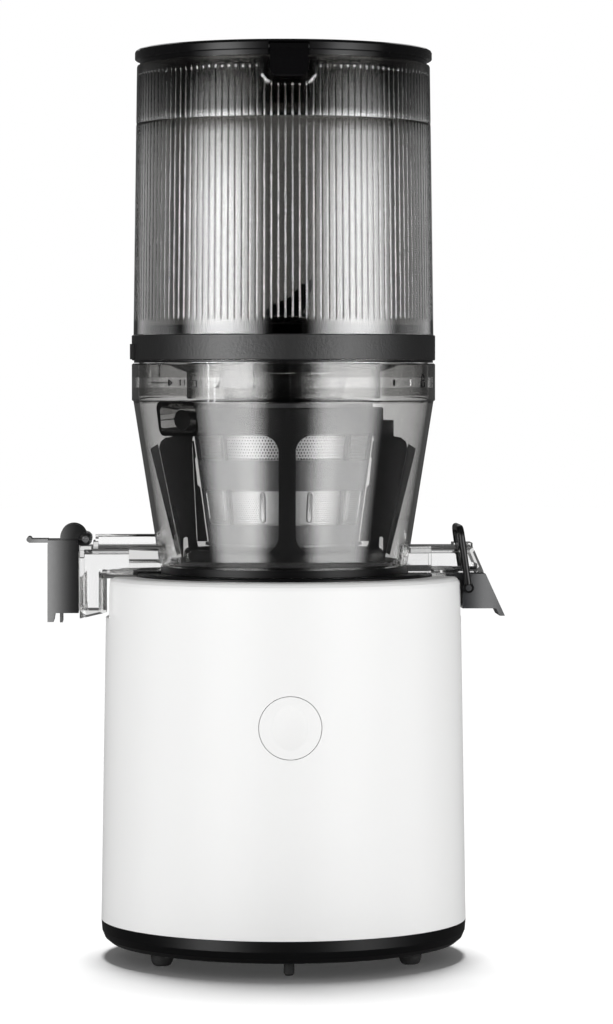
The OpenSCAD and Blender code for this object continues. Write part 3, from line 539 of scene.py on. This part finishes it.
def arc(cx, cy, r, a0, a1, n=10):
    return [(cx + r * math.cos(math.radians(a0 + (a1 - a0) * k / n)),
             cy + r * math.sin(math.radians(a0 + (a1 - a0) * k / n))) for k in range(n + 1)]


def padlock(angle, z, opened):
    case = [(-1.9, -2.4), (1.9, -2.4), (2.1, -2.2), (2.1, 0.5),
            (1.9, 0.7), (-1.9, 0.7), (-2.1, 0.5), (-2.1, -2.2)]
    body = stroke(case, 0.5, angle, z, closed=True)
    shackle = [(-1.35, 0.7), (-1.35, 2.4)] + arc(0, 2.4, 1.35, 180, 0 if not opened else 10)[1:]
    shackle += [(1.35, 0.7)] if not opened else []
    return merge(body, stroke(shackle, 0.5, angle, z))


def make_signs():
    parts = [stroke([(-10, 0), (6.2, 0)], 0.5, -53, RIM_Z),
             stroke([(4.6, 1.4), (7.0, 0), (4.6, -1.4)], 0.55, -53, RIM_Z),
             padlock(-37.5, RIM_Z + 0.4, True), padlock(62.5, RIM_Z + 0.4, False)]
    v, f = merge(*parts)
    piece("rim_signs", np.array(v) * MM, f, BLACK, "bowl", 40)


make_signs()


def make_rim_lines():
    """Moulded lines of the bayonet in the rim band."""
    ledge = RIM_Z + 4.6
    parts = [stroke([(-9, 9), (-9, -9)], 0.5, -24, RIM_Z, 0.2),
             stroke([(-5.6, -9), (-5.6, 2.4), (-2.2, 2.4)], 0.5, -24, RIM_Z, 0.2),
             stroke([(0, 0), (26, 0)], 0.45, -18, ledge, 0.2),
             stroke([(0, 0), (9, 0), (9, -7)], 0.45, 8, ledge, 0.2),
             stroke([(0, -9), (0, 9)], 0.35, 0.4, RIM_Z, 0.15)]
    v, f = merge(*parts)
    piece("rim_lines", np.array(v) * MM, f, SPOUT, "bowl", 40)


make_rim_lines()


# ------------------------------------------------------------------ studio
def area(name, loc, target, w, h, power):
    ld = bpy.data.lights.new(name, "AREA")
    ld.shape = "RECTANGLE"
    ld.size, ld.size_y = w, h
    ld.energy = power
    ob = bpy.data.objects.new(name, ld)
    scene.collection.objects.link(ob)
    ob.location = loc
    ob.rotation_euler = (Vector(target) - Vector(loc)).to_track_quat("-Z", "Y").to_euler()
    ob.visible_camera = False
    return ob


def feather(ob, edge_x, edge_y, hidden):
    """Fade a softbox's light out toward its edges, as a diffuser does."""
    ob.data.use_nodes = True
    t = ob.data.node_tree
    em = t.nodes["Emission"]
    geo = t.nodes.new("ShaderNodeNewGeometry")
    sep = t.nodes.new("ShaderNodeSeparateXYZ")
    t.links.new(geo.outputs["Parametric"], sep.inputs[0])
    sides = []
    for axis, edge in ((0, edge_x), (1, edge_y)):
        for lo, hi in ((0.0, edge), (1.0, 1.0 - edge)):
            mr = t.nodes.new("ShaderNodeMapRange")
            mr.interpolation_type = "SMOOTHSTEP"
            mr.inputs["From Min"].default_value = lo
            mr.inputs["From Max"].default_value = hi
            t.links.new(sep.outputs[axis], mr.inputs["Value"])
            sides.append(mr.outputs["Result"])
    last = sides[0]
    for side in sides[1:]:
        last = math_node(t, "MULTIPLY", last, side)
    if not hidden:
        t.links.new(last, em.inputs["Strength"])
        return
    # a view from behind, straight through the clear plastic, does not meet the box itself
    path = t.nodes.new("ShaderNodeLightPath")
    mirrored = math_node(t, "ADD", path.outputs["Glossy Depth"], path.outputs["Diffuse Depth"])
    direct = math_node(t, "LESS_THAN", mirrored, 0.5)
    inside = math_node(t, "GREATER_THAN", path.outputs["Transmission Depth"], 0.5)
    shown = math_node(t, "SUBTRACT", 1.0, math_node(t, "MULTIPLY", inside, direct))
    t.links.new(math_node(t, "MULTIPLY", last, shown), em.inputs["Strength"])


def light_group(name, objects):
    group = bpy.data.collections.new(name)
    for ob in objects:
        group.objects.link(ob)
    return group


def polar(deg, dist, z):
    """A place round the object: 0 is in front of it, positive to its right."""
    return (dist * math.sin(math.radians(deg)), -dist * math.cos(math.radians(deg)), z)


def watts(radiance, w, h):
    return radiance * math.pi * w * h


def flat_material(name, colour, rough):
    m = Mat(name)
    m.colour(m.ramp(m.noise(3, 2), [(0.3, tuple(c * 0.99 for c in colour)), (0.7, colour)]))
    m.roughness(m.range(m.noise(40, 3), rough - 0.05, rough + 0.05))
    return m.m


def make_floor():
    n = 48
    verts = [(0, 0, 0)] + [(7 * math.cos(TAU * i / n), 7 * math.sin(TAU * i / n), 0) for i in range(n)]
    faces = [(0, i + 1, (i + 1) % n + 1) for i in range(n)]
    me = bpy.data.meshes.new("floor")
    me.from_pydata(verts, [], faces)
    me.materials.append(flat_material("floor_pale", (0.93, 0.93, 0.93), 0.55))
    ob = bpy.data.objects.new("floor", me)
    scene.collection.objects.link(ob)
    ob.location.z = -0.0002
    ob.visible_glossy = False
    ob.visible_transmission = False
    ob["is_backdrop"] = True
    return ob


floor = make_floor()
SHELL = ["body_shell", "power_button"]
HOPPER = ["hopper_fluted", "lid_skirt", "hopper_funnel"]
GLASS = ["chamber", "juice_spout", "pulp_spout", "rim_lines"]
SIDE = ["juice_spout", "juice_cap", "juice_cap_pin", "juice_cap_seal", "pulp_spout", "pulp_chute", "bail"]


def named(names):
    return [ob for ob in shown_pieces() if ob.name in names]


def others(names):
    return [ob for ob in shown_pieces() if ob.name not in names]


dark_parts = light_group("lit_by_softboxes", others(SHELL + HOPPER + GLASS))
hopper_parts = light_group("hopper_lights", named(HOPPER))
glass_parts = light_group("bowl_lights", named(GLASS))
shell_parts = light_group("lit_by_front", named(SHELL))
floor_parts = light_group("lit_from_above", [floor])
floor_shaders = light_group("shades_the_floor", others(SIDE))


def softbox(name, deg, half, tall, radiance, group, dist=1.1, z=0.36, edge=0.42):
    """An upright softbox: its direction and half width in degrees, height and distance in metres."""
    w = 2 * dist * math.tan(math.radians(half))
    ob = area(name, polar(deg, dist, z), (0, 0, z), w, tall, watts(radiance, w, tall))
    ob.light_linking.receiver_collection = group
    feather(ob, edge, 0.12, group in (hopper_parts, glass_parts))


softbox("key_left_wide", -46, 33, 1.0, 4.4, dark_parts, z=0.11)
softbox("key_left_core", -47, 19, 0.98, 5.5, dark_parts, 1.08, 0.11)
softbox("key_right_wide", 49, 33, 1.0, 3.8, dark_parts, z=0.11)
softbox("key_right_core", 45, 17, 0.98, 3.4, dark_parts, 1.08, 0.11)
softbox("hopper_left", -49, 37, 0.98, 21, hopper_parts, z=0.065, edge=0.5)
softbox("hopper_edge_left", -118, 36, 0.98, 1.6, hopper_parts, z=0.065, edge=0.3)
softbox("hopper_edge_right", 118, 36, 0.98, 1.4, hopper_parts, z=0.065, edge=0.3)
softbox("hopper_right", 54, 40, 0.98, 19, hopper_parts, z=0.065, edge=0.5)
softbox("bowl_left", -43, 31, 1.7, 6.6, glass_parts, z=0.2, edge=0.35)
softbox("bowl_right", 49, 34, 1.7, 6.0, glass_parts, z=0.2, edge=0.32)
softbox("shell_left", -38, 30, 1.6, 1.8, shell_parts)
softbox("shell_side_left", -82, 24, 1.4, 1.0, shell_parts)
softbox("shell_right", 38, 30, 1.6, 1.8, shell_parts)
softbox("shell_side_right", 82, 24, 1.4, 1.0, shell_parts)


def floor_sun(name, energy):
    """A sun that only the floor receives."""
    data = bpy.data.lights.new(name, "SUN")
    data.energy = energy
    ob = bpy.data.objects.new(name, data)
    scene.collection.objects.link(ob)
    ob.light_linking.receiver_collection = floor_parts
    return ob


sun = floor_sun("overhead", 3.3)
sun.data.angle = math.radians(14)
sun.rotation_euler = (math.radians(-9), 0, 0)
sun.light_linking.blocker_collection = floor_shaders
floor_sun("floor_fill", 0.2).data.use_shadow = False
lid_light = area("lid_glow", (0, 1.2, 1.0), (0, 0, 0.3), 1.0, 0.6, watts(1.2, 1.0, 0.6))
lid_light.light_linking.receiver_collection = dark_parts


def make_flag():
    """A dark card in the gap between the softboxes, as it mirrors in the glossy parts."""
    me = bpy.data.meshes.new("flag")
    w = 0.42
    me.from_pydata([(-w, -2.4, 0.0), (w + 0.08, -2.4, 0.0), (w + 0.08, -2.4, 2.2), (-w, -2.4, 2.2)], [],
                   [(0, 1, 2, 3)])
    m = Mat("flag_black")
    m.colour(m.ramp(m.noise(5), [(0.3, 0.004), (0.7, 0.008)]))
    m.roughness(m.range(m.noise(20), 0.8, 0.95))
    me.materials.append(m.m)
    ob = bpy.data.objects.new("flag", me)
    scene.collection.objects.link(ob)
    ob.visible_camera = False
    ob.visible_shadow = False
    ob.visible_diffuse = False
    ob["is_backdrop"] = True


make_flag()

world = bpy.data.worlds.new("studio")
scene.world = world
world.use_nodes = True
wt = world.node_tree
background = wt.nodes["Background"]
background.inputs["Color"].default_value = (1, 1, 1, 1)
rays = wt.nodes.new("ShaderNodeLightPath")

# white where it is seen, also straight through clear plastic; dim where it only mirrors
STRAIGHT_THROUGH = 0.9
TRANSMITTED = 0.08
MIRRORED = 0.08
SCATTERED = 0.2
depth = math_node(wt, "ADD", rays.outputs["Glossy Depth"], rays.outputs["Diffuse Depth"])
direct = math_node(wt, "LESS_THAN", depth, 0.5)
straight = math_node(wt, "MULTIPLY", rays.outputs["Is Transmission Ray"], direct)
strength = rays.outputs["Is Camera Ray"]
for kind, share in ((straight, STRAIGHT_THROUGH), (rays.outputs["Is Transmission Ray"], TRANSMITTED),
                    (rays.outputs["Is Glossy Ray"], MIRRORED), (rays.outputs["Is Diffuse Ray"], SCATTERED)):
    strength = math_node(wt, "ADD", strength, math_node(wt, "MULTIPLY", kind, share))
wt.links.new(strength, background.inputs["Strength"])

scene.view_settings.view_transform = "Standard"
scene.view_settings.look = "None"
scene.cycles.max_bounces = 24
scene.cycles.transmission_bounces = 24
scene.cycles.transparent_max_bounces = 24
scene.cycles.glossy_bounces = 8
scene.cycles.diffuse_bounces = 4
scene.cycles.caustics_reflective = True
scene.cycles.caustics_refractive = True
scene.cycles.blur_glossy = 0.3
scene.cycles.sample_clamp_indirect = 8
